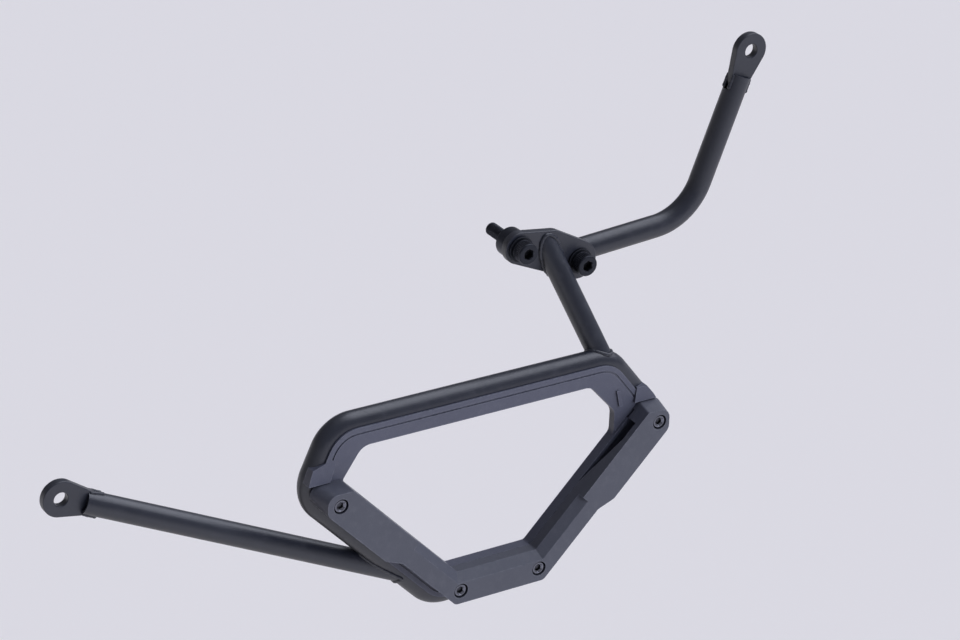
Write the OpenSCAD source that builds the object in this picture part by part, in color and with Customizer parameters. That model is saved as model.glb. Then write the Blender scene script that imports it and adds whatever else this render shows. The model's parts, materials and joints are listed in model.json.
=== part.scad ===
// Left-hand pannier frame for a motorcycle.
// A bent steel hoop carries a moulded frame and a screwed V-shaped cover.
// Two welded arms and a bolted brace take the hoop to the motorcycle.
// X runs to the rear, Y towards the motorcycle and Z up.
// Sizes are first laid out from the middle of the cover's outer face.
// The whole is then moved so that the origin is where the subframe bolt's thread starts.

/* [Tubes] */
// Outer diameter of every tube
tube_d = 14; // [12:0.5:16]
// Wall of every tube
tube_wall = 1.5; // [1:0.1:2.5]
// Centreline radius of the hoop's bends
hoop_bend = 20; // [16:1:22]
// Centreline radius of the brace's bend
brace_bend = 36; // [25:1:45]
// Depth of the hoop's centreline behind the cover's face
hoop_y = 22; // [20:0.5:26]

/* [Hoop outline] */
// Slope of the two lower sides, in degrees
side_slope = 46; // [42:0.5:50]
// Distance of the lower sides from the middle, square to them
side_n = 60; // [56:0.5:64]
// Height of the top bar above the middle
top_z = 78; // [72:1:86]
// Drop of the bottom bar below the middle
bottom_z = 49.5; // [48:0.5:52]
// Rear corner, behind the middle
rear_x = 117; // [112:0.5:120]
// Front corner, ahead of the middle
front_x = 121; // [116:0.5:123]
// Rear end of the top bar
top_rear_x = 83; // [76:1:88]
// Front end of the top bar
top_front_x = 103.5; // [98:0.5:108]

/* [Opening] */
// Distance of the opening's lower sides from the middle
open_n = 39.5; // [37:0.5:41.5]
// Drop of the opening's lower edge below the middle
open_low_z = 28.5; // [26:0.5:31]
// Height of the opening's top edge above the middle
open_top_z = 66; // [60:0.5:68]
// Rear edge of the opening, behind the middle
open_rear_x = 85; // [80:0.5:88]
// Height at which that rear edge turns forward
open_rear_z = 46; // [40:0.5:50]
// Rear end of the opening's top edge
open_top_rear_x = 67; // [60:1:72]
// Front end of the opening's top edge
open_top_front_x = 87.5; // [82:0.5:90]
// Corner radius of the opening's upper corners
open_r = 8; // [4:0.5:10]

/* [Moulded frame] */
// Thickness of the frame's flange
flange_t = 5.2; // [4.5:0.1:6]
// How far the flange's front stands ahead of the tube
flange_lip = 1.2; // [1:0.1:1.6]
// How far the flange's edge stays inside the tube's centreline
flange_inset = 0; // [0:0.1:2]
// Distance of the groove in the flange from the tube's centreline
groove_inset = 3; // [2.5:0.1:4]
// Width of that groove
groove_w = 1.2; // [0.8:0.1:1.6]
// Depth of that groove
groove_depth = 0.7; // [0.4:0.1:1]
// Thickness of moulded walls
wall = 2.5; // [2:0.1:3]
// Height of the rim in front of the flange
rim_h = 1.8; // [1.4:0.1:3]
// Height of the saddles' lower edge above the middle
saddle_z = 49; // [48.8:0.1:52]
// Lean of the saddles' front, in degrees
saddle_lean = 9; // [6:1:12]
// How far the saddles' edge stays inside the tube's outline
saddle_in = 0.5; // [0.3:0.1:1]
// Front saddle: place of its inner corner, that side's lean, inner and outer height
front_saddle = [98, 9, 13, 7];
// Rear saddle, in the same order
rear_saddle = [98, 2, 9, 9];
// Thickness of the rib in the opening's rear corner
rib_t = 2.5; // [2:0.1:3]
// Height of that rib in front of the flange
rib_h = 1.2; // [0.8:0.1:2]
// Length of that rib
rib_l = 11; // [8:1:14]
// Clearance between the moulded parts and the tube
seat_gap = 0.15; // [0.1:0.05:0.3]
// Length of each clip along the tube
clip_l = 12; // [8:1:16]
// How far each clip hooks past the tube's middle
clip_past = 1.5; // [1:0.1:2]
// Places of the clips along the top bar
clip_top_x = [-70, -10, 50];
// Places of the clips along each lower side
clip_side_t = [52, 80];

/* [Cover] */
// Thickness of the cover's face
face_t = 3; // [2.5:0.1:3.5]
// Height of the cover's upper ends
cover_top_z = 47; // [46:0.5:48]
// Drop of the cover's lower edge below the middle
cover_low_z = 47.5; // [46:0.5:48]
// Rear end of the cover's face, behind the middle
cover_rear_x = 115.5; // [115:0.5:117]
// Front end of the cover's face, ahead of the middle
cover_front_x = 117; // [116:0.5:118]
// How far the rear end slopes outwards with depth
rear_draft = 2.5; // [1:0.5:3]
// How far the front end slopes outwards with depth
front_draft = 4.5; // [1:0.5:5]
// How far the upper ends rise with depth
top_draft = 1.5; // [0.5:0.1:1.6]
// Width of the bevel along the inner edge
bevel = 5; // [3:0.5:5.5]
// How far the lower part of each side is set in
step_in = 5; // [2:0.5:6]
// Place along the side where that step starts
step_t = 40; // [36:1:44]
// Length of the step's ramp
step_ramp = 11; // [8:1:14]
// Height of the slot between cover and rim
slot_h = 8; // [5:0.5:8]
// Place along the side where the slot starts
slot_t0 = 45; // [42:1:48]
// Place along the side where the slot is at full height
slot_t1 = 82; // [70:1:86]
// Place along the side where the slot ends
slot_t2 = 94; // [88:1:96]
// Joint gap between cover and frame
joint_gap = 0.2; // [0.1:0.05:0.4]

/* [Cover screws] */
// Distance of the upper screws from the middle
screw_up_x = 108.5; // [106:0.5:108.5]
// Height of the upper screws above the middle
screw_up_z = 39; // [37:0.5:40]
// Distance of the lower screws from the middle
screw_low_x = 27; // [24:0.5:29]
// Drop of the lower screws below the middle
screw_low_z = 39; // [38:0.5:40]
// Thread diameter of the cover screws
screw_d = 5; // [4:0.5:5]
// Head diameter of the cover screws
screw_head_d = 8.6; // [7:0.1:9]
// Head height of the cover screws
screw_head_h = 4.2; // [3.5:0.1:4.4]
// Depth of the head's top below the face
screw_sink = 0.6; // [0.4:0.1:0.8]
// Outer diameter of the cover's bosses
boss_d = 12; // [11.5:0.1:13]
// Outer diameter of the frame's bosses
frame_boss_d = 10.4; // [10:0.1:10.6]
// Outer diameter of the brass inserts
insert_d = 7; // [6.5:0.1:7.5]

/* [Arms] */
// Thickness of the bracket and of the front tab
plate_t = 5; // [4:0.5:6]
// Depth of the upper bracket's outer face
bracket_y = 56; // [50:1:62]
// Where the upper arm meets the bracket, X then Z
arm_top = [63, 135];
// Where the upper arm meets the hoop, X then Z
arm_foot = [80.5, 76];
// Where the front arm meets the hoop's lower side, along that side
front_foot_t = 19; // [10:1:30]
// Where the front arm ends, X then Z
front_end = [-240, 49];
// Depth of the front tab's outer face
front_tab_y = 55; // [48:1:60]
// Distance from each tube's end to the hole in its tab
tab_reach = 16; // [14:1:24]
// Outer radius of the end tabs
tab_r = 11; // [9:0.5:13]
// Diameter of the holes in the end tabs
tab_hole_d = 8.5; // [8:0.1:9]

/* [Bracket and brace] */
// Subframe bolt, X then Z
sub_bolt = [41, 144];
// Brace bolt, X then Z
brace_bolt_at = [83, 127.5];
// Outer radius of the bracket round the subframe bolt
sub_ear_r = 10; // [9:0.5:12]
// Outer radius of the bracket round the brace bolt
brace_ear_r = 12; // [10:0.5:13]
// Outer radius of the bracket above the upper arm
arm_ear_r = 12; // [11:0.5:13]
// Thread diameter of both bolts
bolt_d = 8; // [6:1:8]
// Diameter of the holes for both bolts
bolt_hole_d = 8.5; // [8.3:0.1:9]
// Outer diameter of the spacer on the subframe bolt
spacer_d = 18; // [16:0.5:20]
// Length of that spacer
spacer_l = 8; // [5:0.5:20]
// Free length of the subframe bolt beyond the spacer
bolt_free_l = 20; // [14:1:30]
// Where that bolt's thread starts, beyond the spacer
thread_start = 1; // [0.5:0.5:3]
// How far that thread's plain form lies under its crests
thread_low = 0.2; // [0.1:0.05:0.6]
// Outer diameter of the brace's eye
eye_d = 18; // [16:0.5:20]
// Where the brace bends, X then Z
brace_knee = [168.5, 133.5];
// Where the brace ends, X then Z
brace_end = [201, 220];

/* [Hidden] */
$fn = 48;

big = 400;
eps = 0.01;
flank_in = 0.03;
bend_thin = 0.06;
bend_into = 0.3;
weld_gap = 0.5;
weld_l = 3;
weld_proud = 0.2;
cope_gap = 0.05;
tube_r = tube_d / 2;
steel = "#3a3c42";
mould = "#4a4b50";
zinc = "#8a8c90";
brass_c = "#b59a4c";

// Places in the plane of the hoop, for the rear half.
// Along a lower side runs t, and square to it runs n.
function on_side(t, n) = [
    t * cos(side_slope) + n * sin(side_slope),
    t * sin(side_slope) - n * cos(side_slope)
];
function side_at_z(n, z) = [(n + z * cos(side_slope)) / sin(side_slope), z];
function side_at_x(n, x) = [x, (x * sin(side_slope) - n) / cos(side_slope)];
function flip(p) = [-p[0], p[1]];
function rev(list) = [for (i = [len(list) - 1:-1:0]) list[i]];
function unit(v) = v / norm(v);
function turn_of(a, b) = atan2(a[0] * b[1] - a[1] * b[0], a * b);

// Points of a closed outline with each corner rounded by its own radius.
function round_corner(p, v, n, r, steps) =
    let (a = unit(v - p), b = unit(n - v), t = turn_of(a, b), tl = r * tan(abs(t) / 2),
         s = v - a * tl, side = t > 0 ? 1 : -1, c = s + side * r * [-a[1], a[0]])
    r < eps ? [v] :
    [for (k = [0:steps])
        let (w = t * k / steps, d = s - c)
        c + [d[0] * cos(w) - d[1] * sin(w), d[0] * sin(w) + d[1] * cos(w)]];
function rounded(pts, radii, steps = 6) = [
    for (i = [0:len(pts) - 1])
    each round_corner(pts[(i + len(pts) - 1) % len(pts)], pts[i],
                      pts[(i + 1) % len(pts)], radii[i], steps)
];

// The same outline moved inwards by d, for points that run anticlockwise.
function inset_corner(p, v, n, d) =
    let (a = unit(v - p), b = unit(n - v), na = [-a[1], a[0]], nb = [-b[1], b[0]])
    v + d * (na + nb) / (1 + na * nb);
function inset(pts, d) = [
    for (i = [0:len(pts) - 1])
    inset_corner(pts[(i + len(pts) - 1) % len(pts)], pts[i], pts[(i + 1) % len(pts)], d)
];

// Corners of the hoop's centreline, anticlockwise from the bottom rear.
hoop = [
    side_at_z(side_n, -bottom_z),
    side_at_x(side_n, rear_x),
    [top_rear_x, top_z],
    [-top_front_x, top_z],
    flip(side_at_x(side_n, front_x)),
    flip(side_at_z(side_n, -bottom_z))
];

flange_y0 = hoop_y - tube_r - flange_lip;
flange_y1 = flange_y0 + flange_t;
rim_y0 = flange_y0 - rim_h;
open_front = flip(side_at_z(open_n, cover_top_z));
opening = [
    side_at_z(open_n, -open_low_z),
    side_at_x(open_n, open_rear_x),
    [open_rear_x, open_rear_z],
    [open_top_rear_x, open_top_z],
    [-open_top_front_x, open_top_z],
    open_front,
    flip(side_at_z(open_n, -open_low_z))
];
opening_radii = [3, 6, open_r, open_r, open_r + 2, 2, 3];

// Outline of the rear half of the cover's V, without its end block.
step_n = side_n - step_in;
block_t = step_t + step_ramp + 12;
cover_half = [
    side_at_z(step_n, -cover_low_z),
    on_side(step_t, step_n),
    on_side(step_t + step_ramp, side_n),
    on_side(block_t, side_n),
    on_side(block_t, open_n),
    side_at_z(open_n, -open_low_z)
];
cover_radii = [4, 3, 3, 0, 0, 2];
cover_outline = concat(cover_half, rev([for (p = cover_half) flip(p)]));
cover_corner_r = concat(cover_radii, rev(cover_radii));
cover_y1 = flange_y0 - joint_gap;

// Outline of the hollow inside the rear half of that V.
low_n = open_n + bevel;
hollow_half = [
    side_at_z(step_n - wall, -cover_low_z + wall),
    on_side(step_t + wall / 2, step_n - wall),
    on_side(step_t + step_ramp + wall / 2, side_n - wall),
    on_side(block_t, side_n - wall),
    on_side(block_t, open_n + wall),
    on_side(step_t + wall, open_n + wall),
    on_side(step_t + wall, low_n),
    side_at_z(low_n, -open_low_z - bevel)
];
hollow_outline = concat(hollow_half, rev([for (p = hollow_half) flip(p)]));

// Outline of an end block between the hoop's side and the opening.
function block_outline(end_x, top_z, in) = [
    on_side(block_t, side_n - in),
    side_at_x(side_n - in, end_x - in),
    [end_x - in, top_z - in],
    side_at_z(open_n + in, top_z - in),
    on_side(block_t, open_n + in)
];
block_radii = [0, 6, 6.5, 2, 0];

screw_at = [
    [screw_up_x, screw_up_z],
    [screw_low_x, -screw_low_z],
    [-screw_low_x, -screw_low_z],
    [-screw_up_x, screw_up_z]
];
screw_seat_y = screw_sink + screw_head_h;
cover_boss_y1 = screw_seat_y + wall;
frame_boss_y0 = cover_boss_y1 + joint_gap;
insert_y1 = flange_y0 - 0.4;
screw_tip_y = insert_y1 - 0.2;
thread_gap = 0.1;

bracket_y1 = bracket_y + plate_t;
mount_y = bracket_y1 + spacer_l;
thread_y = mount_y + thread_start;
thread_d = bolt_d - 2 * thread_low;
washer_t = 1.6;
washer_d = 16;
bolt_head_d = 13;
bolt_head_h = 8;
nut_d = 15;
nut_h = 8;
tip_chamfer = 1;
eye_l = tube_d + 0.4;
eye_y0 = bracket_y1;
eye_y1 = eye_y0 + eye_l;
brace_y = eye_y0 + eye_l / 2;
front_foot = flip(on_side(front_foot_t, side_n));
front_dir = unit(front_end - front_foot);
front_y = front_tab_y + plate_t / 2;
tab_slot_l = 10;

// Moves the laid-out part to its own origin.
module place() {
    translate([-sub_bolt[0], -thread_y, -sub_bolt[1]]) children();
}

// A flat shape of the X-Z plane, from depth y0 to depth y1.
module slab(y0, y1) {
    translate([0, y1, 0]) rotate([90, 0, 0]) linear_extrude(y1 - y0) children();
}

// A round bar along Y at a place of the X-Z plane.
module bar_y(at, y0, y1, d) {
    translate([at[0], y1, at[1]]) rotate([90, 0, 0]) cylinder(d = d, h = y1 - y0);
}

// A straight round bar between two points in space.
module bar(p, q, d) {
    v = q - p;
    length = norm(v);
    translate(p)
    rotate([0, acos(v[2] / length), atan2(v[1], v[0])])
    cylinder(d = d, h = length);
}

// A plate round two places, with straight flanks just inside the circles.
module link_plate(y0, y1, p, rp, q, rq) {
    v = q - p;
    base = atan2(v[1], v[0]);
    lean = acos((rp - rq) / norm(v));
    up = [cos(base + lean), sin(base + lean)];
    down = [cos(base - lean), sin(base - lean)];
    a = rp - flank_in;
    b = rq - flank_in;
    bar_y(p, y0, y1, 2 * rp);
    bar_y(q, y0, y1, 2 * rq);
    slab(y0, y1) polygon([p + a * up, q + b * up, q + b * down, p + a * down]);
}

// A bent bar that starts along X and turns to the left at each bend.
// Each bend is a hair thinner than the straight stretches, which reach into it.
module bent_bar(lengths, turns, r, d, i = 0) {
    before = i > 0 ? bend_into : 0;
    after = i < len(turns) ? bend_into : 0;
    translate([-before, 0, 0])
        rotate([0, 90, 0]) cylinder(d = d, h = lengths[i] + before + after);
    if (i < len(turns))
        translate([lengths[i], 0, 0]) {
            translate([0, r, 0])
                rotate(-90)
                rotate_extrude(angle = turns[i])
                translate([r, 0]) circle(d = d - bend_thin);
            translate([0, r, 0])
                rotate(turns[i])
                translate([0, -r, 0])
                bent_bar(lengths, turns, r, d, i + 1);
        }
}

// Length of a bend's tangent, from its corner to where the bend starts.
function tangent_l(p, v, n, r) = r * tan(turn_of(unit(v - p), unit(n - v)) / 2);

hoop_n = len(hoop);
hoop_turns = [
    for (i = [0:hoop_n - 1])
    turn_of(unit(hoop[i] - hoop[(i + hoop_n - 1) % hoop_n]),
            unit(hoop[(i + 1) % hoop_n] - hoop[i]))
];
hoop_lengths = [
    for (i = [0:hoop_n - 1])
    let (last = (i + hoop_n - 1) % hoop_n)
    norm(hoop[i] - hoop[last])
    - hoop_bend * (tan(hoop_turns[i] / 2) + tan(hoop_turns[last] / 2))
];

// The hoop is closed by a dressed butt weld in the middle of its bottom bar.
module hoop_bar(d, weld_d) {
    half = hoop_lengths[0] / 2 - weld_gap / 2;
    lengths = concat([half], [for (i = [1:hoop_n - 1]) hoop_lengths[i]], [half]);
    translate([weld_gap / 2, hoop_y, -bottom_z])
    rotate([90, 0, 0])
    bent_bar(lengths, hoop_turns, hoop_bend, d);
    translate([-weld_l / 2, hoop_y, -bottom_z])
    rotate([0, 90, 0]) cylinder(d = weld_d, h = weld_l);
}

module ring_tube() {
    color(steel)
    difference() {
        hoop_bar(tube_d, tube_d + weld_proud, $fn = 32);
        hoop_bar(tube_d - 2 * tube_wall, tube_d - 2 * tube_wall - weld_proud, $fn = 32);
    }
}

// The room that the moulded frame leaves for the hoop.
module hoop_seat() {
    hoop_bar(tube_d + 2 * seat_gap, tube_d + 2 * seat_gap + weld_proud);
}

// The area behind the bottom of a tube's end slot, or its open part.
module slot_area(end, dir, from, to) {
    side = tube_d * [-dir[1], dir[0]];
    polygon([end + side + from * dir, end - side + from * dir,
             end - side + to * dir, end + side + to * dir]);
}

// The slot in a tube's end that takes its tab.
module end_slot(end, dir, y) {
    half = plate_t / 2 + seat_gap;
    slab(y - half, y + half)
    slot_area(end, dir, -tab_slot_l - seat_gap, tube_d);
}

// A tab that sits in a tube's end slot and has a hole beyond it.
module end_tab(end, dir, y) {
    y0 = y - plate_t / 2;
    y1 = y + plate_t / 2;
    hole = end + dir * tab_reach;
    color(steel)
    difference() {
        link_plate(y0, y1, hole, tab_r, end - dir * (tab_slot_l - tube_r), tube_r);
        slab(y0 - 1, y1 + 1) slot_area(end, dir, -big, -tab_slot_l);
        bar_y(hole, y0 - 1, y1 + 1, tab_hole_d);
    }
}

// The upper arm stands on the bend at the rear of the top bar.
module upper_arm() {
    into = unit(hoop[2] - hoop[1]);
    start = hoop[2] - into * hoop_bend * tan(hoop_turns[2] / 2);
    centre = start + hoop_bend * [-into[1], into[0]];
    foot = [arm_foot[0], hoop_y, arm_foot[1]];
    head = [arm_top[0], bracket_y, arm_top[1]];
    v = unit(head - foot);
    color(steel)
    difference() {
        bar(foot, head + v * 2 * tube_d, tube_d);
        bar(foot - v, head + v * (2 * tube_d + 1), tube_d - 2 * tube_wall);
        translate([centre[0], hoop_y, centre[1]])
            rotate([90, 0, 0])
            rotate_extrude()
            translate([hoop_bend, 0]) circle(d = tube_d + 2 * cope_gap);
        translate([-big, head[1], -big]) cube([2 * big, big, 2 * big]);
    }
}

// The front arm ends square, with its tab in a slot.
module front_arm() {
    reach = 80;
    foot = [front_foot[0], hoop_y, front_foot[1]];
    head = [front_end[0], front_y, front_end[1]];
    v = unit(head - foot);
    color(steel)
    difference() {
        bar(foot, head, tube_d);
        bar(foot - v, head + v, tube_d - 2 * tube_wall);
        translate(foot)
            rotate([0, side_slope, 0])
            translate([-reach / 2, 0, 0])
            rotate([0, 90, 0]) cylinder(d = tube_d + 2 * cope_gap, h = reach);
        end_slot(front_end, front_dir, front_y);
    }
}

module front_arm_tab() {
    end_tab(front_end, front_dir, front_y);
}

arm_ear = arm_top + [-1, 4];
module upper_bracket() {
    color(steel)
    difference() {
        union() {
            slab(bracket_y, bracket_y1) polygon([sub_bolt, brace_bolt_at, arm_ear]);
            link_plate(bracket_y, bracket_y1, sub_bolt, sub_ear_r, arm_ear, arm_ear_r);
            link_plate(bracket_y, bracket_y1, arm_ear, arm_ear_r, brace_bolt_at, brace_ear_r);
            link_plate(bracket_y, bracket_y1, sub_bolt, sub_ear_r, brace_bolt_at, brace_ear_r);
        }
        for (at = [sub_bolt, brace_bolt_at])
            bar_y(at, bracket_y - 1, bracket_y1 + 1, bolt_hole_d);
    }
}

// The brace starts at its bolt and has one bend.
brace_first = unit(brace_knee - brace_bolt_at);
brace_reach = tangent_l(brace_bolt_at, brace_knee, brace_end, brace_bend);
module brace_bar(d, over) {
    first_l = norm(brace_knee - brace_bolt_at) - brace_reach;
    last_l = norm(brace_end - brace_knee) - brace_reach;
    translate([brace_bolt_at[0], brace_y, brace_bolt_at[1]])
    rotate([90, 0, 0])
    rotate(atan2(brace_first[1], brace_first[0]))
    bent_bar([first_l, last_l + over], [turn_of(brace_first, brace_dir)], brace_bend, d);
}

brace_dir = unit(brace_end - brace_knee);

module brace_tube() {
    color(steel)
    difference() {
        brace_bar(tube_d, 0);
        brace_bar(tube_d - 2 * tube_wall, 1);
        bar_y(brace_bolt_at, eye_y0 - 1, eye_y1 + 1, eye_d + 2 * seat_gap);
        end_slot(brace_end, brace_dir, brace_y);
    }
}

module brace_upper_tab() {
    end_tab(brace_end, brace_dir, brace_y);
}

module brace_eye() {
    color(steel)
    difference() {
        bar_y(brace_bolt_at, eye_y0, eye_y1, eye_d);
        bar_y(brace_bolt_at, eye_y0 - 1, eye_y1 + 1, bolt_hole_d);
    }
}

// Turns its children so that X runs along the rear lower side and Z into the opening.
module on_rear_side() {
    rotate([0, -side_slope, 0]) children();
}

module both_halves() {
    children();
    mirror([1, 0, 0]) children();
}

// The rim stands in front of the flange along the lower edge of the opening.
module rim() {
    top = side_at_z(open_n, cover_top_z - wall);
    inner = [side_at_z(open_n, -open_low_z), top];
    outer = [side_at_z(open_n + wall, cover_top_z - wall), side_at_z(open_n + wall, -open_low_z - wall)];
    difference() {
        slab(rim_y0, flange_y1)
        difference() {
            polygon(concat(outer, rev([for (p = outer) flip(p)]), [flip(top)],
                           [flip(inner[0])], inner));
            polygon(rounded(opening, opening_radii));
        }
        slab(rim_y0 - 1, flange_y0)
            polygon([on_side(slot_t2, 0), on_side(slot_t2, big),
                     on_side(big, big), on_side(big, 0)]);
        slab(rim_y0 - 1, flange_y0)
            polygon([flip(on_side(slot_t2, 0)), flip(on_side(big, 0)),
                     flip(on_side(big, big)), flip(on_side(slot_t2, big))]);
    }
}

// A snap clip hooks round the back of the tube, with its root on the flange.
module clip(at, along) {
    outer_d = tube_d + 2 * wall;
    translate([at[0], hoop_y, at[1]])
    rotate([0, -along, 0])
    translate([-clip_l / 2, 0, 0])
    difference() {
        union() {
            rotate([0, 90, 0]) cylinder(d = outer_d, h = clip_l);
            translate([0, -tube_r, 0])
                cube([clip_l, flange_t - flange_lip, outer_d / 2]);
        }
        translate([-1, -big, -big]) cube([clip_l + 2, big - 1, big]);
        translate([-1, -big, -eps]) cube([clip_l + 2, big - tube_r, big]);
        translate([-1, -big, -big]) cube([clip_l + 2, 2 * big, big - clip_past]);
    }
}

module frame_clips() {
    for (x = clip_top_x)
        clip([x, top_z], 180);
    for (t = clip_side_t) {
        clip(on_side(t, side_n), side_slope);
        clip(flip(on_side(t, side_n)), -side_slope);
    }
    clip([0, -bottom_z], 0);
}

// Area inside a line that runs beside the hoop's centreline.
module hoop_area(d) {
    polygon(rounded(inset(hoop, d), [for (p = hoop) hoop_bend - d]));
}

// The flange has a shallow groove beside the hoop.
module flange() {
    difference() {
        slab(flange_y0, flange_y1)
        difference() {
            hoop_area(flange_inset);
            polygon(rounded(opening, opening_radii));
        }
        slab(flange_y0 - 1, flange_y0 + groove_depth)
        difference() {
            hoop_area(groove_inset);
            hoop_area(groove_inset + groove_w);
        }
    }
}

// Outline of the rear saddle, or of the front one before it is mirrored.
module saddle_area(s) {
    outer_x = s[0] + 2 * tube_d;
    polygon([[s[0], saddle_z], [outer_x, saddle_z], [outer_x, saddle_z + s[3]],
             [s[0] + s[1], saddle_z + s[2]]]);
}

// A saddle covers the front of the hoop above each end of the cover.
module saddles() {
    root_y = flange_y0 - 2;
    intersection() {
        slab(root_y, flange_y1)
        intersection() {
            difference() {
                hoop_area(saddle_in - tube_r);
                hoop_area(groove_inset + groove_w + wall);
            }
            union() {
                saddle_area(rear_saddle);
                mirror([1, 0]) saddle_area(front_saddle);
            }
        }
        translate([0, root_y, saddle_z])
            rotate([-saddle_lean, 0, 0])
            translate([-big, 0, -big]) cube(2 * big);
    }
}

// A short rib stiffens the corner behind the opening.
module corner_rib() {
    x = open_rear_x + wall;
    z = open_rear_z + wall;
    slab(flange_y0 - rib_h, flange_y0 + 1)
    polygon([[x, z], [x + rib_t, z], [x, z + rib_l], [x - rib_t, z + rib_l]]);
}

module inner_frame() {
    color(mould)
    difference() {
        union() {
            flange();
            saddles();
            corner_rib();
            rim();
            for (at = screw_at)
                bar_y(at, frame_boss_y0, flange_y0 + 1, frame_boss_d);
            frame_clips();
        }
        for (at = screw_at)
            bar_y(at, frame_boss_y0 - 1, insert_y1 + eps, insert_d + 2 * thread_gap);
        hoop_seat();
    }
}

// Space that the bevel takes from the cover: it narrows with depth.
module bevel_space() {
    edge = open_n + bevel;
    intersection() {
        translate([-big / 2, -1, -cover_low_z]) cube([big, bevel + 1, big / 2]);
        translate([0, 0, -open_low_z - bevel]) rotate([45, 0, 0])
            translate([-big, -big, 0]) cube([2 * big, 2 * big, big]);
        on_rear_side() translate([0, 0, -edge]) rotate([45, 0, 0])
            translate([-big, -big, 0]) cube([big + step_t, 2 * big, big]);
        mirror([1, 0, 0]) on_rear_side() translate([0, 0, -edge]) rotate([45, 0, 0])
            translate([-big, -big, 0]) cube([big + step_t, 2 * big, big]);
    }
}

// The slot grows from nothing to its full height along the side.
module slot_space() {
    low = rim_y0 + 1;
    on_rear_side()
    translate([0, 0, -open_n - wall - 1])
    linear_extrude(wall + 2)
    polygon([[slot_t0, low], [slot_t0, rim_y0], [slot_t1, rim_y0 - slot_h],
             [slot_t2, rim_y0 - slot_h], [slot_t2, low]]);
}

// A convex block between the face and the back, with sloping ends.
module end_block(end_x, draft, y0, y1, in) {
    back_x = end_x + draft;
    back_z = cover_top_z + top_draft;
    hull() {
        slab(y0, y0 + eps) polygon(rounded(block_outline(end_x, cover_top_z, in), block_radii));
        slab(y1 - eps, y1) polygon(rounded(block_outline(back_x, back_z, in), block_radii));
    }
}

module end_blocks(y0, y1, in) {
    end_block(cover_rear_x, rear_draft, y0, y1, in);
    mirror([1, 0, 0]) end_block(cover_front_x, front_draft, y0, y1, in);
}

module cover_shell() {
    difference() {
        union() {
            slab(0, cover_y1) polygon(rounded(cover_outline, cover_corner_r, 5));
            end_blocks(0, cover_y1, 0);
        }
        slab(face_t, cover_y1 + 1) polygon(hollow_outline);
        end_blocks(face_t, cover_y1 + 1, wall);
        bevel_space();
    }
}

module front_cover() {
    rim_clear = rim_y0 - joint_gap;
    color(mould)
    difference() {
        union() {
            cover_shell();
            for (at = screw_at)
                bar_y(at, face_t - 1, cover_boss_y1, boss_d);
        }
        both_halves() slot_space();
        slab(rim_clear, cover_y1 + 1)
        polygon([
            side_at_z(open_n + wall + joint_gap, -open_low_z - wall - joint_gap),
            side_at_z(open_n + wall + joint_gap, cover_top_z - wall + joint_gap),
            side_at_z(open_n - 2, cover_top_z - wall + joint_gap),
            side_at_z(open_n - 2, -open_low_z + 2),
            flip(side_at_z(open_n - 2, -open_low_z + 2)),
            flip(side_at_z(open_n - 2, cover_top_z - wall + joint_gap)),
            flip(side_at_z(open_n + wall + joint_gap, cover_top_z - wall + joint_gap)),
            flip(side_at_z(open_n + wall + joint_gap, -open_low_z - wall - joint_gap))
        ]);
        for (at = screw_at) {
            bar_y(at, -1, screw_seat_y, screw_head_d + 0.8);
            bar_y(at, 0, cover_boss_y1 + 1, screw_d + 0.4);
        }
    }
}

module cover_screw(i) {
    at = screw_at[i];
    color(zinc)
    difference() {
        union() {
            bar_y(at, screw_sink, screw_seat_y, screw_head_d);
            bar_y(at, screw_seat_y - eps, screw_tip_y, screw_d);
        }
        translate([at[0], screw_sink + 2.6, at[1]])
            rotate([90, 0, 0]) cylinder(d = 4.6, h = 4, $fn = 6);
    }
}

module insert(i) {
    at = screw_at[i];
    color(brass_c)
    difference() {
        bar_y(at, frame_boss_y0, insert_y1, insert_d);
        bar_y(at, frame_boss_y0 - 1, insert_y1 + 1, screw_d + 2 * thread_gap);
    }
}

// The chamfered tip of a bolt that ends at depth y.
module tip(at, y, d) {
    translate([at[0], y - tip_chamfer - eps, at[1]])
        rotate([-90, 0, 0])
        cylinder(d1 = d, d2 = d - 2 * tip_chamfer, h = tip_chamfer);
}

// A socket-head bolt with its head's underside at depth y0 and its shank to y1.
module socket_bolt(at, y0, y1) {
    difference() {
        union() {
            bar_y(at, y0 - bolt_head_h, y0, bolt_head_d);
            bar_y(at, y0 - eps, y1, bolt_d);
        }
        translate([at[0], y0 - bolt_head_h + 4, at[1]])
            rotate([90, 0, 0]) cylinder(d = 6.9, h = 5, $fn = 6);
    }
}

module washer(at, y1) {
    difference() {
        bar_y(at, y1 - washer_t, y1, washer_d);
        bar_y(at, y1 - washer_t - 1, y1 + 1, bolt_hole_d);
    }
}

module subframe_bolt() {
    end_y = mount_y + bolt_free_l;
    color(zinc) {
        socket_bolt(sub_bolt, bracket_y - washer_t, thread_y);
        bar_y(sub_bolt, thread_y - 1, end_y - tip_chamfer, thread_d);
        tip(sub_bolt, end_y, thread_d);
    }
}

module subframe_washer() {
    color(zinc) washer(sub_bolt, bracket_y);
}

module subframe_spacer() {
    color(zinc)
    difference() {
        bar_y(sub_bolt, bracket_y1, mount_y, spacer_d);
        bar_y(sub_bolt, bracket_y1 - 1, mount_y + 1, bolt_hole_d);
    }
}

module brace_bolt() {
    end_y = eye_y1 + nut_h + 3;
    color(zinc) {
        socket_bolt(brace_bolt_at, bracket_y - washer_t, end_y - tip_chamfer);
        tip(brace_bolt_at, end_y, bolt_d);
    }
}

module brace_washer() {
    color(zinc) washer(brace_bolt_at, bracket_y);
}

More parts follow.
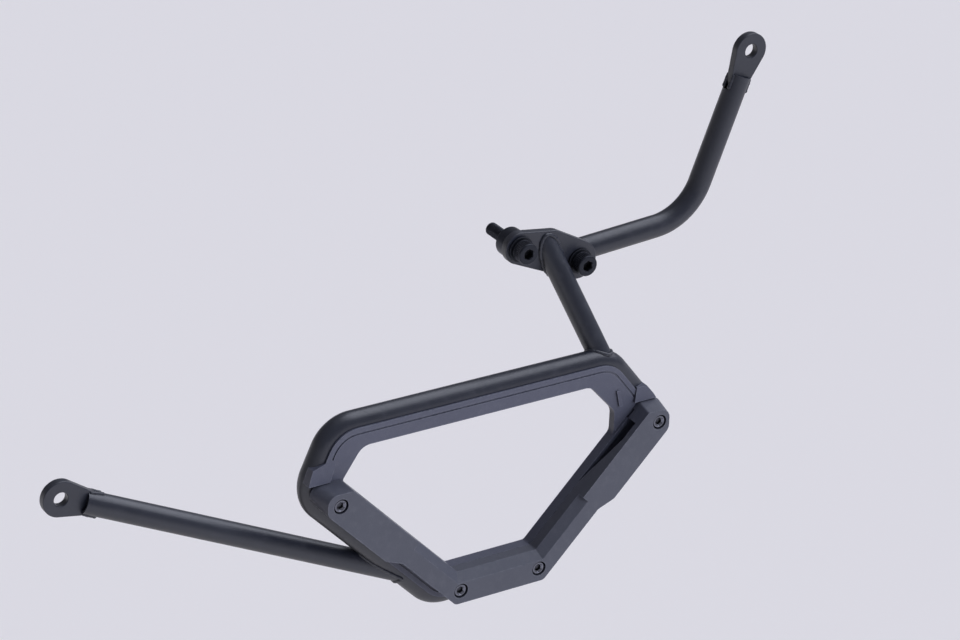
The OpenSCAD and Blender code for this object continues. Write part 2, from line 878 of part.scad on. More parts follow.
module brace_nut() {
    color(zinc)
    difference() {
        translate([brace_bolt_at[0], eye_y1, brace_bolt_at[1]]) rotate([-90, 0, 0])
        union() {
            cylinder(d = nut_d, h = nut_h, $fn = 6);
            cylinder(d = nut_d + 2.5, h = 1.6);
        }
        bar_y(brace_bolt_at, eye_y1 - 1, eye_y1 + nut_h + 1, bolt_d + 2 * thread_gap);
    }
}

place() ring_tube();
place() upper_arm();
place() front_arm();
place() front_arm_tab();
place() upper_bracket();
place() brace_tube();
place() brace_eye();
place() brace_upper_tab();
place() inner_frame();
place() front_cover();
place() cover_screw(0);  // cover_screw_1
place() cover_screw(1);  // cover_screw_2
place() cover_screw(2);  // cover_screw_3
place() cover_screw(3);  // cover_screw_4
place() insert(0);  // insert_1
place() insert(1);  // insert_2
place() insert(2);  // insert_3
place() insert(3);  // insert_4
place() subframe_bolt();
place() subframe_washer();
place() subframe_spacer();
place() brace_bolt();
place() brace_washer();
place() brace_nut();
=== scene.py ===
import math

import bmesh
import bpy
from mathutils import Matrix, Vector
from mathutils.bvhtree import BVHTree
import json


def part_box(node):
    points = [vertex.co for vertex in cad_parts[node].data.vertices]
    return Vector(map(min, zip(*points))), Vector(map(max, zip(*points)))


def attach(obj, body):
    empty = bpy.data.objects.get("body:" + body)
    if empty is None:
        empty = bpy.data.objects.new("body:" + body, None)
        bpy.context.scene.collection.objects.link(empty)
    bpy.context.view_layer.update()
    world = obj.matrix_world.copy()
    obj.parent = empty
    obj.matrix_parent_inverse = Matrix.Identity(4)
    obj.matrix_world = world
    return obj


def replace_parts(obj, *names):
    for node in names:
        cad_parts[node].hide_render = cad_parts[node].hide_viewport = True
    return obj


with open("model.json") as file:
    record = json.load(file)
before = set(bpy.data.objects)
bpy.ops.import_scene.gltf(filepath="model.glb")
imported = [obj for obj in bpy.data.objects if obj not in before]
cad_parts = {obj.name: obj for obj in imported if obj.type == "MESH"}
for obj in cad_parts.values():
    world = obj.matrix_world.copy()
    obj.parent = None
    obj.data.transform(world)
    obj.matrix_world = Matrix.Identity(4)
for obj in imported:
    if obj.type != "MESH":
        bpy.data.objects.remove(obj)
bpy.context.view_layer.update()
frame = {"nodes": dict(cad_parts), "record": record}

SOLIDS = frame["nodes"]
SLOT_OF = {part["node"]: part["material_slot"] for part in frame["record"]["subparts"]}

# Sizes here are in millimetres and degrees, except where a comment says otherwise.
MM = 0.001

# The part is laid out from the middle of the cover's face, and this is its own origin there.
ORIGIN = Vector((41.0, 70.0, 144.0))

# The hoop: tube and bend, depth behind the cover's face, slope and place of its sides, and its corners
TUBE_R = 7.0
HOOP_BEND = 20.0
HOOP_Y = 22.0
SIDE_SLOPE = 46.0
SIDE_N = 60.0
TOP_Z, BOTTOM_Z = 78.0, 49.5
REAR_X, FRONT_X = 117.0, 121.0
TOP_REAR_X, TOP_FRONT_X = 83.0, 103.5

# The bracket and the upper arm, with X and Z of each place
BRACKET_Y = 56.0
ARM_TOP, ARM_FOOT = (63.0, 135.0), (80.5, 76.0)

# The front arm: its foot's distance along the hoop's sloping side, and its end
FRONT_FOOT_T = 19.0
FRONT_END, FRONT_Y = (-240.0, 49.0), 57.5

# The brace, from its bolt and eye over its knee to its end
BRACE_Y = 68.2
EYE_R = 9.0
BRACE_BOLT, BRACE_KNEE, BRACE_END = (83.0, 127.5), (168.5, 133.5), (201.0, 220.0)

# The tabs at the ends of the front arm and the brace: thickness, and depth of the tube's slot
TAB_T = 5.0
TAB_SLOT = 10.0

# How much each solid's edges are rounded
ROUND = {
    "front_cover": 0.8, "inner_frame": 0.45,
    "upper_bracket": 0.6, "front_arm_tab": 0.6, "brace_upper_tab": 0.6, "brace_eye": 0.5,
    "upper_arm": 0.25, "front_arm": 0.25, "brace_tube": 0.25,
    "subframe_washer": 0.2, "brace_washer": 0.2, "subframe_spacer": 0.4, "brace_nut": 0.35,
}

# Points of a solid's mesh closer than this are one, and the brace's bends need a little more.
MERGE, BRACE_MERGE = 0.01, 0.05

# The dressed butt weld in the middle of the bottom bar: places along it, and how proud it stands there
BUTT_WELD = [(-3.2, 0.0), (-2.2, 0.05), (-1.2, 0.1), (0.0, 0.12), (1.2, 0.1), (2.2, 0.05), (3.2, 0.0)]

# A screw's head: its height, the socket's width across flats, the radius of the rim round its dish and
# the dish's depth, the rounding of its edge and the depth of its knurl. Then its thread's crest and pitch.
COVER_SCREW = dict(
    slot="screw_steel", head_h=4.2, socket=4.0, rim=3.0, dish=0.9, edge=1.1, knurl=0.0,
    crest=2.5, pitch=0.8)
BOLT = dict(
    slot="bolt_steel", head_h=8.0, socket=6.0, rim=3.6, dish=0.4, edge=0.8, knurl=0.35,
    crest=4.0, pitch=1.25)

# Depth of a socket and of the drill's cone under it, as shares of the head's height
SOCKET_DEPTH, CONE_DEPTH = 0.56, 0.62
# The cone's point and the lead-in at the top of the flats, as shares of the socket's width
CONE_POINT, LEAD_IN = 0.04, 1.03

# The knurl's ridges, its distance from the edge's rounding and from the head's underside, and its ramps
KNURL_RIDGES = 36
KNURL_FRONT, KNURL_BACK, KNURL_RAMP = 0.3, 1.0, 0.2

# The rounding under a head, the fillet at its shank, and the plain shank before a cover screw's thread
HEAD_ROUND, SHANK_FILLET, PLAIN_SHANK = 0.2, 0.3, 0.6
# The small step at each end of a thread, and the chamfer at the tip of an 8 mm bolt
THREAD_STEP, TIP_CHAMFER = 0.1, 0.9

# A thread's depth and the steepness of its flanks, as shares of its pitch, and its rings in each turn
THREAD_DEPTH, FLANK = 0.54, 1.2
RINGS_A_TURN = 8

# Weld beads: radius on the hoop, on the bracket, on the eye and on the tabs, and length of one ripple
HOOP_BEAD, BRACKET_BEAD, EYE_BEAD, TAB_BEAD = 1.1, 1.3, 1.2, 1.1
RIPPLE = 2.6
BEAD_SIDES = 10
BEAD_STEP = 0.45

# The floor, in metres
FLOOR_Z, FLOOR_HALF = -0.62, 14

# The camera stands and looks as the photograph's did, in layout millimetres and degrees.
CAMERA_PLACE = (-886.32, -1360.24, 920.43)
CAMERA_TURN, CAMERA_DOWN, CAMERA_ROLL = 32.965, 27.193, 2.287

# The frame, the photograph's focal length and the place that the lens aims at, in the frame's pixels
FRAME_W, FRAME_H = 960, 640
PHOTO_FOCAL = 1450.0
AIM_X, AIM_Y = 470.0, 288.0

# The lens is this much longer than the photograph's, so that the part fills the frame.
CLOSER = 2.2
SENSOR_W = 36


def at(x, y, z):
    """A place of the layout as a place of the part's own frame, in metres."""
    return (Vector((x, y, z)) - ORIGIN) * MM


def place(xz, y):
    """A place of the layout from its X and Z and its depth."""
    return Vector((xz[0], y, xz[1]))


def plane(x, z):
    """A place in the hoop's own plane."""
    return Vector((x, 0, z))


SIN, COS = math.sin(math.radians(SIDE_SLOPE)), math.cos(math.radians(SIDE_SLOPE))
LOW_X = (SIDE_N - BOTTOM_Z * COS) / SIN
HOOP = [
    plane(LOW_X, -BOTTOM_Z),
    plane(REAR_X, (REAR_X * SIN - SIDE_N) / COS),
    plane(TOP_REAR_X, TOP_Z),
    plane(-TOP_FRONT_X, TOP_Z),
    plane(-FRONT_X, (FRONT_X * SIN - SIDE_N) / COS),
    plane(-LOW_X, -BOTTOM_Z),
]
FRONT_FOOT = plane(-(FRONT_FOOT_T * COS + SIDE_N * SIN), FRONT_FOOT_T * SIN - SIDE_N * COS)

# Each straight tube, from its foot to its head
UPPER_ARM = place(ARM_FOOT, HOOP_Y), place(ARM_TOP, BRACKET_Y)
FRONT_ARM = FRONT_FOOT + Vector((0, HOOP_Y, 0)), place(FRONT_END, FRONT_Y)
BRACE_LOW = place(BRACE_BOLT, BRACE_Y), place(BRACE_KNEE, BRACE_Y)
BRACE_HIGH = place(BRACE_KNEE, BRACE_Y), place(BRACE_END, BRACE_Y)


# Materials

def srgb(r, g, b):
    """A colour as it is seen, from 0 to 255, as Blender's linear one."""
    def linear(c):
        c = c / 255
        return c / 12.92 if c <= 0.04045 else ((c + 0.055) / 1.055) ** 2.4
    return (linear(r), linear(g), linear(b), 1.0)


class Nodes:
    """A new material, with short names for building its nodes."""

    def __init__(self, name):
        self.mat = bpy.data.materials.new(name)
        self.mat.use_nodes = True
        self.tree = self.mat.node_tree
        self.tree.nodes.clear()
        self.out = self.add("ShaderNodeOutputMaterial")
        self.coord = self.add("ShaderNodeTexCoord").outputs["Object"]

    def add(self, kind, **options):
        """A new node with its options set."""
        node = self.tree.nodes.new(kind)
        for key, value in options.items():
            setattr(node, key, value)
        return node

    def put(self, node, socket, value):
        """Links an output to a socket, or writes a plain value there."""
        if hasattr(value, "is_output"):
            self.tree.links.new(value, node.inputs[socket])
        else:
            node.inputs[socket].default_value = value

    def noise(self, scale, detail, rough):
        """Cloudy noise around 0.5, with so many patches to the metre."""
        node = self.add("ShaderNodeTexNoise")
        self.put(node, "Vector", self.coord)
        self.put(node, "Scale", scale)
        self.put(node, "Detail", detail)
        self.put(node, "Roughness", rough)
        return node.outputs["Fac"]

    def cells(self, scale):
        """Distance to the middle of the nearest grain, with so many grains to the metre."""
        node = self.add("ShaderNodeTexVoronoi")
        self.put(node, "Vector", self.coord)
        self.put(node, "Scale", scale)
        return node.outputs["Distance"]

    def span(self, value, start, end, low=0.0, high=1.0):
        """The value's way from start to end, as a way from low to high."""
        node = self.add("ShaderNodeMapRange", clamp=True)
        self.put(node, "Value", value)
        self.put(node, "From Min", start)
        self.put(node, "From Max", end)
        self.put(node, "To Min", low)
        self.put(node, "To Max", high)
        return node.outputs["Result"]

    def calc(self, operation, a, b=0.0):
        """A sum, product or other operation on two values."""
        node = self.add("ShaderNodeMath", operation=operation)
        self.put(node, 0, a)
        self.put(node, 1, b)
        return node.outputs[0]

    def mix(self, share, a, b):
        """A colour between a and b."""
        node = self.add("ShaderNodeMix", data_type="RGBA")
        for socket, value in ((0, share), (6, a), (7, b)):
            self.put(node, socket, value)
        return node.outputs[2]

    def tint(self, base, mask, amount, colour):
        """The base colour with an amount of another where the mask is 1."""
        return self.mix(self.calc("MULTIPLY", mask, amount), base, colour)

    def bump(self, height, strength, distance, normal=None):
        """A normal roughened by a height, over another bump if one is given."""
        node = self.add("ShaderNodeBump")
        self.put(node, "Height", height)
        self.put(node, "Strength", strength)
        self.put(node, "Distance", distance)
        if normal is not None:
            self.put(node, "Normal", normal)
        return node.outputs["Normal"]

    def edges(self, radius):
        """1 on a sharp outer edge and 0 on a flat, from the angle between true and rounded normals."""
        rounded = self.add("ShaderNodeBevel", samples=6)
        self.put(rounded, "Radius", radius * MM)
        dot = self.add("ShaderNodeVectorMath", operation="DOT_PRODUCT")
        self.put(dot, 0, rounded.outputs["Normal"])
        self.put(dot, 1, self.add("ShaderNodeNewGeometry").outputs["Normal"])
        return self.span(dot.outputs["Value"], 0.995, 0.86)

    def worn(self, radius, scale, detail, start, end):
        """1 on patches of the outer edges."""
        patches = self.span(self.noise(scale, detail, 0.6), start, end)
        return self.calc("MULTIPLY", self.edges(radius), patches)

    def painted_facing_shade(self):
        """Painted shade by which way a face turns: 1 on faces turned up, to the front or to the back,
        falling to 0.15 on undersides and end walls.
        """
        node = self.add("ShaderNodeSeparateXYZ")
        self.put(node, 0, self.add("ShaderNodeNewGeometry").outputs["Normal"])
        side = self.calc("MULTIPLY", self.calc("ABSOLUTE", node.outputs["Y"]), 0.95)
        return self.span(self.calc("ADD", node.outputs["Z"], side), -0.1, 0.9, 0.15, 1.0)

    def painted_recess_shade(self, distance, start, end):
        """How far a place is from painted shade: 1 in the open, falling to 0 deep in a recess, where the
        shade is painted.
        """
        node = self.add("ShaderNodeAmbientOcclusion", samples=8)
        self.put(node, "Distance", distance * MM)
        return self.span(node.outputs["AO"], start, end)

    def shader(self, **values):
        """The surface shader, with an underscore for each space in its sockets' names."""
        node = self.add("ShaderNodeBsdfPrincipled")
        for key, value in values.items():
            self.put(node, key.replace("_", " "), value)
        self.tree.links.new(node.outputs[0], self.out.inputs["Surface"])


def coated_steel():
    """Satin black powder coat: fine orange peel, a little dust, slightly paler edges, and painted shade on
    undersides and end walls.
    """
    m = Nodes("coated_steel")
    broad = m.noise(28, 4, 0.55)
    peel = m.noise(620, 2, 0.5)
    fine = m.noise(2600, 2, 0.6)
    dust = m.span(m.noise(160, 6, 0.65), 0.52, 0.74)
    worn = m.worn(0.7, 900, 3, 0.42, 0.66)
    base = m.mix(m.span(broad, 0.35, 0.65), srgb(26, 30, 43), srgb(32, 36, 49))
    base = m.tint(base, dust, 0.12, srgb(88, 90, 100))
    base = m.tint(base, worn, 0.30, srgb(100, 103, 116))
    # Painted shade: undersides and end walls darkened towards near black.
    base = m.mix(m.painted_facing_shade(), srgb(6, 6, 10), base)
    rough = m.calc("ADD", m.span(broad, 0.3, 0.7, 0.37, 0.43), m.span(peel, 0.3, 0.7, -0.03, 0.03))
    rough = m.calc("ADD", rough, m.calc("MULTIPLY", dust, 0.12))
    normal = m.bump(peel, 0.22, 0.12 * MM)
    normal = m.bump(fine, 0.10, 0.04 * MM, normal)
    m.shader(Base_Color=base, Roughness=rough, Normal=normal, Specular_IOR_Level=0.9)
    return m.mat


def moulded_plastic(name, low, high):
    """Dark grey glass-filled moulding with a fine spark-eroded grain, painted shade on its undersides, end
    walls and deep in its recesses, and edges paled by wear and by a painted highlight.
    """
    m = Nodes(name)
    broad = m.noise(22, 4, 0.55)
    grain = m.cells(1500)
    fine = m.noise(3800, 3, 0.6)
    dust = m.span(m.noise(210, 6, 0.62), 0.5, 0.76)
    rubbed_and_highlit = m.worn(1.2, 480, 4, 0.38, 0.66)
    base = m.mix(m.span(broad, 0.32, 0.68), srgb(*low), srgb(*high))
    base = m.mix(m.span(grain, 0.0, 0.9, 0.0, 0.35), base, srgb(66, 69, 80))
    base = m.tint(base, dust, 0.12, srgb(126, 128, 138))
    # Edges paled by wear patches and by a painted highlight.
    base = m.tint(base, rubbed_and_highlit, 0.45, srgb(138, 141, 156))
    # Painted shade on undersides and end walls.
    base = m.mix(m.painted_facing_shade(), srgb(34, 32, 42), base)
    # Painted shade deep in recesses, such as the slot.
    base = m.mix(m.painted_recess_shade(6.0, 0.05, 0.55), srgb(40, 46, 62), base)
    rough = m.calc("ADD", m.span(broad, 0.3, 0.7, 0.38, 0.46), m.span(fine, 0.3, 0.7, -0.04, 0.05))
    normal = m.bump(grain, 0.30, 0.10 * MM)
    normal = m.bump(fine, 0.14, 0.05 * MM, normal)
    m.shader(Base_Color=base, Roughness=rough, Normal=normal, Specular_IOR_Level=0.5)
    return m.mat


def screw_steel():
    """Coated screws, with the coating thin on their rims and painted shade deep in their sockets."""
    m = Nodes("screw_steel")
    fine = m.noise(1800, 3, 0.6)
    worn = m.worn(0.4, 1500, 3, 0.34, 0.6)
    base = m.mix(m.span(fine, 0.35, 0.65), srgb(120, 122, 134), srgb(136, 138, 150))
    base = m.tint(base, worn, 0.7, srgb(186, 188, 196))
    # Painted shade deep in the sockets.
    base = m.mix(m.painted_recess_shade(3.5, 0.35, 0.95), srgb(8, 9, 12), base)
    rough = m.calc("ADD", m.span(fine, 0.3, 0.7, 0.26, 0.36), m.calc("MULTIPLY", worn, -0.06))
    m.shader(Base_Color=base, Roughness=rough, Normal=m.bump(fine, 0.12, 0.04 * MM), Metallic=0.75)
    return m.mat


def bolt_steel():
    """Black coated bolts, spacer, nut and washers, with painted shade in their recesses."""
    m = Nodes("bolt_steel")
    fine = m.noise(1600, 3, 0.6)
    worn = m.worn(0.5, 1200, 3, 0.4, 0.66)
    base = m.mix(m.span(fine, 0.35, 0.65), srgb(34, 37, 46), srgb(42, 45, 55))
    base = m.tint(base, worn, 0.55, srgb(132, 134, 146))
    # Painted shade in the recesses.
    base = m.mix(m.painted_recess_shade(4.0, 0.3, 0.85), srgb(8, 9, 12), base)
    rough = m.span(fine, 0.3, 0.7, 0.3, 0.42)
    m.shader(Base_Color=base, Roughness=rough, Normal=m.bump(fine, 0.14, 0.05 * MM), Metallic=0.5)
    return m.mat


def brass():
    """Turned brass, for the inserts."""
    m = Nodes("brass")
    fine = m.noise(1500, 3, 0.6)
    base = m.mix(m.span(fine, 0.3, 0.7), srgb(196, 160, 86), srgb(214, 182, 108))
    rough = m.span(fine, 0.3, 0.7, 0.26, 0.4)
    m.shader(Base_Color=base, Roughness=rough, Metallic=1.0, Normal=m.bump(fine, 0.1, 0.04 * MM))
    return m.mat


FINISH = {
    "coated_tube": coated_steel(),
    "moulded_plastic": moulded_plastic("cover_plastic", (76, 79, 92), (82, 85, 98)),
    "screw_steel": screw_steel(),
    "bolt_steel": bolt_steel(),
    "brass": brass(),
}
FRAME_PLASTIC = moulded_plastic("frame_plastic", (80, 83, 101), (86, 89, 107))


# The solids

def shade_smooth(mesh):
    """Lets light run evenly over a mesh's faces."""
    for face in mesh.polygons:
        face.use_smooth = True


def round_edges(ob, width):
    """Rounds a solid's sharp edges, once its flat faces are whole."""
    flat = ob.modifiers.new("flat", "DECIMATE")
    flat.decimate_type = "DISSOLVE"
    flat.angle_limit = math.radians(0.6)
    bevel = ob.modifiers.new("round", "BEVEL")
    bevel.width = width
    bevel.segments = 3
    bevel.limit_method = "ANGLE"
    bevel.angle_limit = math.radians(24)
    bevel.harden_normals = False
    bevel.use_clamp_overlap = True
    shade = ob.modifiers.new("shade", "WEIGHTED_NORMAL")
    shade.weight = 60
    shade.keep_sharp = True


def finish_solids():
    """Each solid gets its finish, smooth curves and rounded edges."""
    for name, ob in SOLIDS.items():
        ob.data.materials.clear()
        ob.data.materials.append(FRAME_PLASTIC if name == "inner_frame" else FINISH[SLOT_OF[name]])
        shade_smooth(ob.data)
        weld = ob.modifiers.new("weld", "WELD")
        weld.merge_threshold = (BRACE_MERGE if name == "brace_tube" else MERGE) * MM
        if name in ROUND:
            round_edges(ob, ROUND[name] * MM)


# Building pieces

def circle(count):
    """The angles of so many places evenly round a circle."""
    return [2 * math.pi * k / count for k in range(count)]


def skin(bm, rings, closed):
    """Faces between each ring of points and the next, and from the last to the first if it is closed."""
    pairs = zip(rings, rings[1:] + rings[:1]) if closed else zip(rings, rings[1:])
    for a, b in pairs:
        for j in range(len(a)):
            k = (j + 1) % len(a)
            bm.faces.new((a[j], a[k], b[k], b[j]))


def piece(name, bm, slot):
    """A piece of the part, from a finished mesh."""
    mesh = bpy.data.meshes.new(name)
    bmesh.ops.recalc_face_normals(bm, faces=bm.faces)
    bm.to_mesh(mesh)
    bm.free()
    shade_smooth(mesh)
    mesh.materials.append(FINISH[slot])
    ob = bpy.data.objects.new(name, mesh)
    bpy.context.scene.collection.objects.link(ob)
    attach(ob, "root")
    return ob


# The hoop, bent from one length of tube

def bent_path(corners, bend, steps=18):
    """Points and inward normals along a closed outline whose corners are arcs."""
    rows = []
    for i, corner in enumerate(corners):
        a = (corner - corners[i - 1]).normalized()
        b = (corners[(i + 1) % len(corners)] - corner).normalized()
        inward_a, inward_b = Vector((-a.z, 0, a.x)), Vector((-b.z, 0, b.x))
        centre = corner - a * bend * math.tan(a.angle(b) / 2) + inward_a * bend
        for k in range(steps + 1):
            inward = inward_a.slerp(inward_b, k / steps)
            rows.append((centre - inward * bend, inward))
    return rows


def hoop_tube(sides=56):
    """The whole hoop as one smooth sweep, with its dressed butt weld a hair proud."""
    rows = [(centre, inward, 0.0) for centre, inward in bent_path(HOOP, HOOP_BEND)]
    start, end = rows[-1][0], rows[0][0]
    for x, proud in BUTT_WELD:
        along = start.lerp(end, (x - start.x) / (end.x - start.x))
        rows.append((along, Vector((0, 0, 1)), proud))
    bm = bmesh.new()
    rings = []
    for centre, inward, proud in rows:
        r = TUBE_R + proud
        ring = []
        for w in circle(sides):
            p = centre + inward * (r * math.cos(w)) + Vector((0, HOOP_Y + r * math.sin(w), 0))
            ring.append(bm.verts.new(at(*p)))
        rings.append(ring)
    skin(bm, rings, closed=True)
    ob = piece("hoop_tube", bm, "coated_tube")
    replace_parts(ob, "ring_tube")
    return ob


# Screws and bolts with real sockets and threads

def hex_radius(across):
    """The radius of a hexagon at each angle."""
    def radius(a):
        return across / 2 / math.cos((a + math.pi / 6) % (math.pi / 3) - math.pi / 6)
    return radius


def turned(name, slot, cx, cz, rows, sides=72, sharp=32):
    """A closed turned form about an axis along Y: rows of depth and radius, in metres."""
    bm = bmesh.new()
    rings = []
    for y, radius in rows:
        ring = []
        for a in circle(sides):
            r = radius(a) if callable(radius) else radius
            ring.append(bm.verts.new((cx + r * math.cos(a), y, cz + r * math.sin(a))))
        rings.append(ring)
    skin(bm, rings, closed=False)
    bm.faces.new(rings[0])
    bm.faces.new(rings[-1][::-1])
    ob = piece(name, bm, slot)
    ob.data.set_sharp_from_angle(angle=math.radians(sharp))
    return ob


def thread_rows(y0, y1, crest, pitch):
    """Rows of a helical thread that fades in and out over one turn, in metres."""
    def ring(y):
        fade = min(1.0, (y - y0) / pitch, (y1 - y) / pitch)

        def radius(a):
            turn = (y / pitch - a / (2 * math.pi)) % 1.0
            ridge = min(1.0, FLANK * (1 - abs(2 * turn - 1)))
            return crest - THREAD_DEPTH * pitch * (1 - ridge) * max(0.0, fade)
        return radius
    count = max(RINGS_A_TURN, int((y1 - y0) / (pitch / RINGS_A_TURN)))
    return [(y, ring(y)) for y in (y0 + (y1 - y0) * k / count for k in range(count + 1))]


def edge_rows(y, r, size, steps=4):
    """A rounded front edge, from the flat face out to the side, in metres."""
    return [(y + size * (1 - math.cos(w)), r - size * (1 - math.sin(w)))
            for w in (math.pi / 2 * k / steps for k in range(steps + 1))]


def socket_screw(node, thread_start, slot, head_h, socket, rim, dish, edge, knurl, crest, pitch):
    """A socket screw in place of its plain solid, with the solid's own place and length."""
    low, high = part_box(node)
    cx, cz, r = (low.x + high.x) / 2, (low.z + high.z) / 2, (high.x - low.x) / 2
    face, tip = low.y, high.y
    under = face + head_h * MM
    hexagon = hex_radius(socket * MM)
    shank = crest * MM
    chamfer = TIP_CHAMFER * min(1.0, crest / 4) * MM

    def ridged(a):
        return r - knurl * MM * abs(math.sin(KNURL_RIDGES / 2 * a))

    # The socket, from the point of its cone up its flats and lead-in to the dished face
    rows = [
        (face + CONE_DEPTH * head_h * MM, hex_radius(socket * MM * CONE_POINT)),
        (face + SOCKET_DEPTH * head_h * MM, hexagon),
        (face + (dish + 0.02) * MM, hexagon),
        (face + dish * MM, hex_radius(socket * MM * LEAD_IN)),
        (face, rim * MM),
    ]
    # The head's edge and side
    rows += edge_rows(face, r, edge * MM)
    if knurl:
        rows += [
            (face + (edge + KNURL_FRONT) * MM, r),
            (face + (edge + KNURL_FRONT + KNURL_RAMP) * MM, ridged),
            (under - (KNURL_BACK + KNURL_RAMP) * MM, ridged),
            (under - KNURL_BACK * MM, r),
        ]
    # Its underside, the fillet to the shank, and the shank with its thread and chamfered tip
    rows += [
        (under - HEAD_ROUND * MM, r),
        (under, r - HEAD_ROUND * MM),
        (under, shank + SHANK_FILLET * MM),
        (under + SHANK_FILLET * MM, shank),
        (thread_start - THREAD_STEP * MM, shank),
    ]
    rows += thread_rows(thread_start, tip - chamfer, shank, pitch * MM)
    rows += [(tip - chamfer, shank - THREAD_STEP * MM), (tip, shank - chamfer)]
    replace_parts(turned(node + "_detail", slot, cx, cz, rows), node)


def fasteners():
    """The cover screws, threaded from just under the head, and the bolts, threaded past their grip."""
    for number in range(1, 5):
        node = "cover_screw_%d" % number
        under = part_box(node)[0].y + COVER_SCREW["head_h"] * MM
        socket_screw(node, under + PLAIN_SHANK * MM, **COVER_SCREW)
    socket_screw("subframe_bolt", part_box("subframe_spacer")[1].y + MM, **BOLT)
    socket_screw("brace_bolt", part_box("brace_nut")[0].y, **BOLT)


# Weld beads

def bead(name, path, radius, closed=True):
    """A laid bead along a path of layout points: overlapping ripples, tapered where it is open."""
    points = path + path[:1] if closed else path
    run = [0.0]
    for a, b in zip(points, points[1:]):
        run.append(run[-1] + (b - a).length)
    total = run[-1]
    steps = max(24, int(total / BEAD_STEP))

    def where(s):
        """The place at a distance along the path."""
        s = s % total if closed else min(max(s, 0.0), total)
        for i in range(len(run) - 1):
            if run[i + 1] >= s:
                share = (s - run[i]) / max(run[i + 1] - run[i], 1e-9)
                return points[i].lerp(points[i + 1], share)
        return points[-1]

    def thick(s):
        """The bead's radius at a distance along the path."""
        ripple = math.sqrt(max(0.0, 1 - (2 * ((s / RIPPLE) % 1.0) - 1) ** 2))
        waver = 0.06 * math.sin(s * 1.31) + 0.05 * math.sin(s * 0.53 + 1.0)
        r = radius * (0.90 + 0.16 * ripple + waver)
        end = min(s, total - s) / (1.5 * radius)
        if not closed and end < 1:
            r *= math.sqrt(max(0.02, 1 - (1 - end) ** 2))
        return r

    bm = bmesh.new()
    rings = []
    for k in range(steps if closed else steps + 1):
        s = total * k / steps
        along = (where(s + 0.6) - where(s - 0.6)).normalized()
        up = Vector((0, 1, 0)) if abs(along.y) < 0.9 else Vector((1, 0, 0))
        u = along.cross(up).normalized()
        v = along.cross(u).normalized()
        centre, r = where(s), thick(s)
        ring = [centre + (u * math.cos(a) + v * math.sin(a)) * r for a in circle(BEAD_SIDES)]
        rings.append([bm.verts.new(at(*p)) for p in ring])
    skin(bm, rings, closed)
    if not closed:
        bm.faces.new(rings[0][::-1])
        bm.faces.new(rings[-1])
    piece(name, bm, "coated_tube")


def seam(tube, surface, count=72):
    """Where the skin of a tube meets a surface, all round."""
    foot, head = tube
    along = (head - foot).normalized()
    a = along.orthogonal().normalized()
    b = along.cross(a).normalized()
    starts = [foot + (a * math.cos(w) + b * math.sin(w)) * TUBE_R for w in circle(count)]
    points = [surface(start, along) for start in starts]
    return [p for p in points if p is not None]


def mesh_hit(ob, reach=45):
    """A surface for seam: where a line that comes back along a tube first meets a mesh."""
    mesh = ob.data
    tree = BVHTree.FromPolygons([p.co for p in mesh.vertices], [tuple(f.vertices) for f in mesh.polygons])

    def hit(start, along):
        found = tree.ray_cast(at(*(start + along * reach)), -along)[0]
        return found / MM + ORIGIN if found is not None else None
    return hit


def bar_hit(centre, axis, radius):
    """A surface for seam: where a line along a tube leaves a long round bar."""
    def hit(start, along):
        w = start - centre
        across = w - axis * w.dot(axis)
        step = along - axis * along.dot(axis)
        a = step.dot(step)
        b = 2 * across.dot(step)
        c = across.dot(across) - radius * radius
        root = b * b - 4 * a * c
        return start + along * ((-b + math.sqrt(root)) / (2 * a)) if root >= 0 else None
    return hit


def bracket_hit(start, along):
    """A surface for seam: where a line along a tube meets the bracket's face."""
    return start + along * ((BRACKET_Y - start.y) / along.y)


def joint_beads(hoop):
    """The beads at the joints of the tubes, each at the line where the skins meet."""
    on_hoop = mesh_hit(hoop)
    on_eye = bar_hit(BRACE_LOW[0], Vector((0, 1, 0)), EYE_R)
    bead("upper_arm_weld_low", seam(UPPER_ARM, on_hoop), HOOP_BEAD)
    bead("upper_arm_weld_top", seam(UPPER_ARM, bracket_hit), BRACKET_BEAD)
    bead("front_arm_weld", seam(FRONT_ARM, on_hoop), HOOP_BEAD)
    bead("brace_eye_weld", seam(BRACE_LOW, on_eye), EYE_BEAD)


def tab_beads(name, tube):
    """Four short beads where a tab's faces leave the sides of its tube's slot."""
    foot, head = tube
    along = (head - foot).normalized()
    side = Vector((-along.z, 0, along.x)).normalized()
    lift = along.cross(side)
    corners = [(face, hand) for face in (-1, 1) for hand in (-1, 1)]
    for number, (face, hand) in enumerate(corners, 1):
        path = []
        for back in (TAB_SLOT, 7.5, 5.0, 2.5, 0.3):
            axis = head - along * back
            rise = (head.y + face * TAB_T / 2 - axis.y) / lift.y
            reach = math.sqrt(max(0.0, TUBE_R ** 2 - rise ** 2))
            path.append(axis + lift * rise + side * hand * reach)
        bead("%s_%d" % (name, number), path, TAB_BEAD, closed=False)


# Studio

def floor():
    """A plain pale floor, well below the part."""
    bm = bmesh.new()
    bmesh.ops.create_grid(bm, x_segments=1, y_segments=1, size=FLOOR_HALF)
    mesh = bpy.data.meshes.new("floor")
    bm.to_mesh(mesh)
    bm.free()
    ob = bpy.data.objects.new("floor", mesh)
    ob.location = (0, 0, FLOOR_Z)
    bpy.context.scene.collection.objects.link(ob)
    m = Nodes("floor")
    m.shader(Base_Color=srgb(247, 244, 244), Roughness=0.9, Specular_IOR_Level=0.1)
    mesh.materials.append(m.mat)


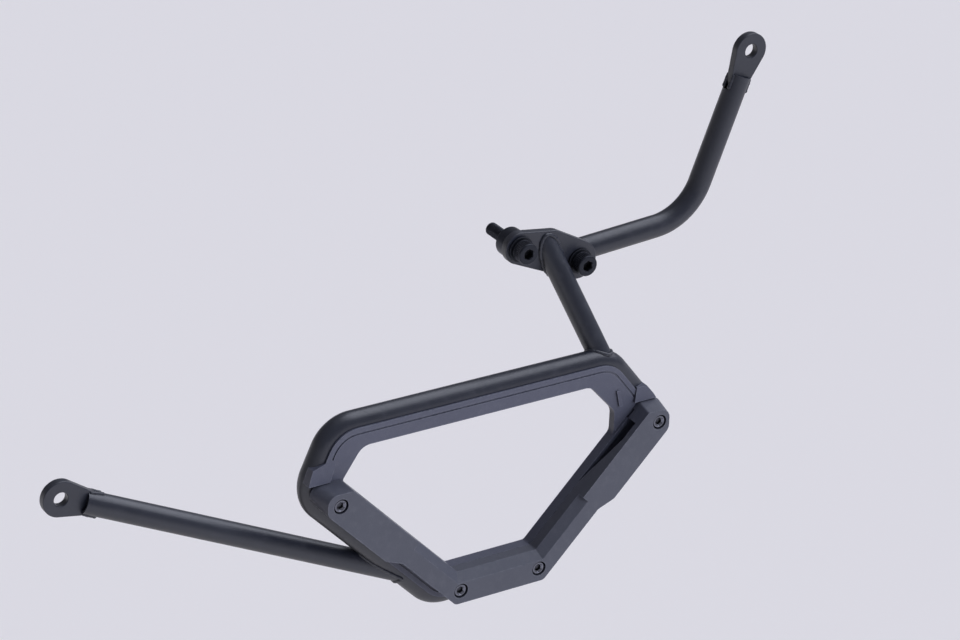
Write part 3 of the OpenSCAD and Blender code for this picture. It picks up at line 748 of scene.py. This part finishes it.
def softbox(name, towards, strength, angle, colour, glossy=True):
    """A soft light from far away, as wide as an angle in radians, so that the floor is lit evenly."""
    light = bpy.data.lights.new(name, "SUN")
    light.energy = strength
    light.angle = angle
    light.color = colour
    ob = bpy.data.objects.new(name, light)
    ob.rotation_euler = (-Vector(towards)).to_track_quat("-Z", "Y").to_euler()
    ob.visible_glossy = glossy
    bpy.context.scene.collection.objects.link(ob)


def studio():
    """The floor, a dim pale world and two soft lights, of which only the upper one shows as gloss."""
    floor()
    world = bpy.data.worlds.new("studio")
    bpy.context.scene.world = world
    world.use_nodes = True
    background = world.node_tree.nodes["Background"]
    background.inputs["Color"].default_value = srgb(216, 216, 226)
    background.inputs["Strength"].default_value = 0.25
    softbox("front", (0.45, -0.85, 0.27), 2.0, 0.9, (1.0, 1.0, 1.0), glossy=False)
    softbox("top", (0.60, 0.08, 0.80), 1.88, 1.1, (0.85, 0.88, 1.0))


def camera():
    """The photograph's view, through a longer lens that aims at the middle of the part."""
    turn, down, roll = (math.radians(a) for a in (CAMERA_TURN, CAMERA_DOWN, CAMERA_ROLL))
    ahead = Vector((math.cos(down) * math.sin(turn), math.cos(down) * math.cos(turn), -math.sin(down)))
    level = Vector((math.cos(turn), -math.sin(turn), 0))
    above = level.cross(ahead)
    across = level * math.cos(roll) + above * math.sin(roll)
    upward = above * math.cos(roll) - level * math.sin(roll)
    aim = ahead * PHOTO_FOCAL + across * (AIM_X - FRAME_W / 2) - upward * (AIM_Y - FRAME_H / 2)
    look = aim.normalized()
    right = (across - look * across.dot(look)).normalized()
    up = right.cross(look)
    eye = at(*CAMERA_PLACE)
    lens = bpy.data.cameras.new("photo_view")
    lens.sensor_width = SENSOR_W
    lens.lens = SENSOR_W * CLOSER * PHOTO_FOCAL / FRAME_W
    lens.clip_start = 0.05
    lens.clip_end = 60
    ob = bpy.data.objects.new("photo_view", lens)
    ob.matrix_world = Matrix((
        (right.x, up.x, -look.x, eye.x),
        (right.y, up.y, -look.y, eye.y),
        (right.z, up.z, -look.z, eye.z),
        (0, 0, 0, 1)))
    bpy.context.scene.collection.objects.link(ob)
    bpy.context.scene.camera = ob


finish_solids()
hoop = hoop_tube()
fasteners()
joint_beads(hoop)
tab_beads("front_tab_weld", FRONT_ARM)
tab_beads("brace_tab_weld", BRACE_HIGH)
studio()
camera()
bpy.context.scene.view_settings.view_transform = "Standard"
